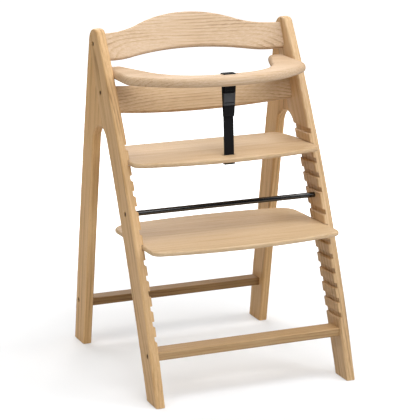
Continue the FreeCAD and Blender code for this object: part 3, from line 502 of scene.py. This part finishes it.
def turned(across, up, radius, start, end, steps=8):
    """Points of an arc in the strap's side view, from start to end in degrees."""
    angles = [math.radians(start + (end - start) * i / steps) for i in range(steps + 1)]
    return [(across + radius * math.cos(a), up + radius * math.sin(a)) for a in angles]


def strap_end():
    """Strap end that passes the slot in the seat and hangs below as a sewn double fold."""
    lean, rise = math.sin(SEAT_TILT), math.cos(SEAT_TILT)
    base = KEEPER_HIGH.z - STRAP_FACE * lean - SEAT_THICK * rise
    foot = -FOLD_DROP + SKIN / 2
    outer = (KEEPER_HIGH.y - KEEPER_LOW.y) / 2 - SKIN / 2 - 0.0006
    inner = outer - SKIN - 0.0004
    flat = [(0.0, 0.0112), (0.0, 0.004), (-0.0003, 0.0008), (-0.0022, -0.0012)]
    flat += [(-outer + 0.0004, -0.0040)]
    flat += turned(-outer + 0.0015, foot + 0.0015, 0.0015, 180, 270, 4)
    flat += turned(outer - 0.0015, foot + 0.0015, 0.0015, 270, 360, 4)
    flat += turned(outer - 0.0018, -0.0038, 0.0018, 0, 90, 4)
    flat += turned(-inner + 0.0016, -0.0040, 0.0016, 90, 180, 4)
    flat += turned(-inner + 0.0010, foot + SKIN + 0.0014, 0.0010, 180, 270, 4)
    flat += [(inner - 0.0016, foot + SKIN + 0.0004)]
    line = []
    for across, up in flat:
        y = TAPE_Y + across
        line.append(Vector((STRAP_X, y * rise + up * lean, base - y * lean + up * rise)))
    return new_piece("strap_end", ribbon(line, [STRAP_WIDTH] * len(line), SKIN), WEBBING)


def soft_bar(made, low, high, radius):
    """Box between two corners with rounded edges, added to a piece."""
    middle = (Vector(low) + Vector(high)) / 2
    extent = Vector(high) - Vector(low)
    cube = bmesh.ops.create_cube(made, size=1.0)["verts"]
    for vertex in cube:
        vertex.co = middle + Vector(c * e for c, e in zip(vertex.co, extent))
    edges = list({edge for vertex in cube for edge in vertex.link_edges})
    bmesh.ops.bevel(made, geom=edges, offset=radius, segments=3, profile=0.5, affect="EDGES")


def slider():
    """Slider: two rails, a bar and a broad plate in front of the tape, and two bars behind it."""
    made = bmesh.new()
    low, high = SLIDER_LOW, SLIDER_HIGH
    rail = (high.x - low.x - STRAP_WIDTH) / 2 - GAP
    for x in (low.x, high.x - rail):
        soft_bar(made, (x, low.y, low.z), (x + rail, high.y, high.z), 0.0004)
    front = low.y + SLIDER_FACE
    for foot, top in ((0.0, 0.0052), (0.0070, 0.0280)):
        soft_bar(made, (low.x, low.y, low.z + foot), (high.x, front, low.z + top), 0.0006)
    back = high.y - 0.0010
    for foot, top in ((0.0, 0.0070), (0.0210, 0.0280)):
        soft_bar(made, (low.x, back, low.z + foot), (high.x, high.y, low.z + top), 0.0004)
    return new_piece("slider_plate", made, PLASTIC)


loop = strap_loop()
band = strap_band()
tape = strap_tape()
web = strap_web()
stitches = seam_stitches()
for piece in (loop, band, tape, stitches):
    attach(piece, "chair_frame")
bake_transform(web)
for piece in (loop, band, tape, web, stitches):
    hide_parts("crotch_strap")

end_roll = strap_end()
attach(end_roll, "seat")
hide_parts("strap_keeper")

plate = slider()
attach(plate, "slider")
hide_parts("strap_slider")

# ---------------------------------------------------------------- floor, light, camera

FLOOR_HALF = 12.0
FLOOR_WHITE = (0.70, 0.715, 0.735, 1)
FLOOR_GLOW = 0.22
AIM_HEIGHT = 0.4
VIEW_AZIMUTH = math.radians(-23.01)
VIEW_ELEVATION = math.radians(14.66)
VIEW_AIM = Vector((-0.0658, -0.1532, 0.4112))
VIEW_DISTANCE = 4.3
VIEW_LENS = 162.2
WARM = (1.0, 0.86, 0.66)


def stage_floor():
    """Pale floor with a painted glow for the camera only: weak near the chair, where it lightens the
    floor shadow, and rising to full white from 1.5 m out, beyond the lights.
    """
    made = bmesh.new()
    bmesh.ops.create_grid(made, x_segments=1, y_segments=1, size=FLOOR_HALF)
    material, tree, shader = new_material("floor")
    where = add(tree, "ShaderNodeTexCoord").outputs["Object"]
    reach = add(tree, "ShaderNodeVectorMath", {0: where}, operation="LENGTH").outputs["Value"]
    glow = add(tree, "ShaderNodeMapRange", {
        "Value": reach, "From Min": 0.45, "From Max": 1.5, "To Min": FLOOR_GLOW, "To Max": 1.05,
    }, interpolation_type="SMOOTHSTEP").outputs["Result"]
    seen = add(tree, "ShaderNodeLightPath").outputs["Is Camera Ray"]
    glow = math_node(tree, "MULTIPLY", glow, seen)
    shader.inputs["Base Color"].default_value = FLOOR_WHITE
    shader.inputs["Roughness"].default_value = 0.9
    shader.inputs["Specular IOR Level"].default_value = 0.0
    shader.inputs["Emission Color"].default_value = (1, 1, 1, 1)
    tree.links.new(glow, shader.inputs["Emission Strength"])
    new_piece("floor", made, material)


def area_light(name, place, size, power, colour=(1.0, 1.0, 1.0)):
    """Round soft light aimed at the middle of the chair."""
    data = bpy.data.lights.new(name, "AREA")
    data.shape = "DISK"
    data.size = size
    data.energy = power
    data.color = colour
    lamp = bpy.data.objects.new(name, data)
    lamp.location = place
    lamp.rotation_mode = "QUATERNION"
    lamp.rotation_quaternion = (
        Vector((0, 0, AIM_HEIGHT)) - Vector(place)).to_track_quat("-Z", "Y")
    bpy.context.scene.collection.objects.link(lamp)


def studio():
    """White surroundings seen by the camera only, and soft lights in front, above, behind and beside."""
    world = bpy.data.worlds.new("studio")
    bpy.context.scene.world = world
    world.use_nodes = True
    tree = world.node_tree
    seen = add(tree, "ShaderNodeLightPath").outputs["Is Camera Ray"]
    back = tree.nodes["Background"]
    back.inputs["Color"].default_value = (1, 1, 1, 1)
    tree.links.new(seen, back.inputs["Strength"])
    area_light("overhead", (0.2, -0.3, 2.6), 2.0, 19.3)
    area_light("front_high", (0.0, -3.0, 2.8), 2.8, 74.0)
    area_light("front_right", (2.2, -2.6, 1.8), 1.4, 13.0)
    area_light("left", (-3.0, 0.2, 1.2), 1.4, 14.5, WARM)
    area_light("right", (3.0, 0.0, 1.5), 1.4, 11.8, WARM)
    area_light("back_high", (0.0, 2.5, 2.4), 3.0, 80.0)
    area_light("top_left", (-1.6, -0.6, 2.4), 1.2, 13.1)
    area_light("top_right", (1.6, -0.6, 2.4), 1.2, 22.0)
    bpy.context.scene.view_settings.view_transform = "Standard"


def camera():
    """Long lens looking slightly down at the chair from its front left."""
    level = math.cos(VIEW_ELEVATION)
    back = Vector((math.sin(VIEW_AZIMUTH) * level, -math.cos(VIEW_AZIMUTH) * level,
                   math.sin(VIEW_ELEVATION)))
    data = bpy.data.cameras.new("camera")
    data.sensor_width = 36.0
    data.lens = VIEW_LENS
    view = bpy.data.objects.new("camera", data)
    view.location = VIEW_AIM + back * VIEW_DISTANCE
    view.rotation_mode = "QUATERNION"
    view.rotation_quaternion = (-back).to_track_quat("-Z", "Y")
    bpy.context.scene.collection.objects.link(view)
    bpy.context.scene.camera = view


stage_floor()
studio()
camera()
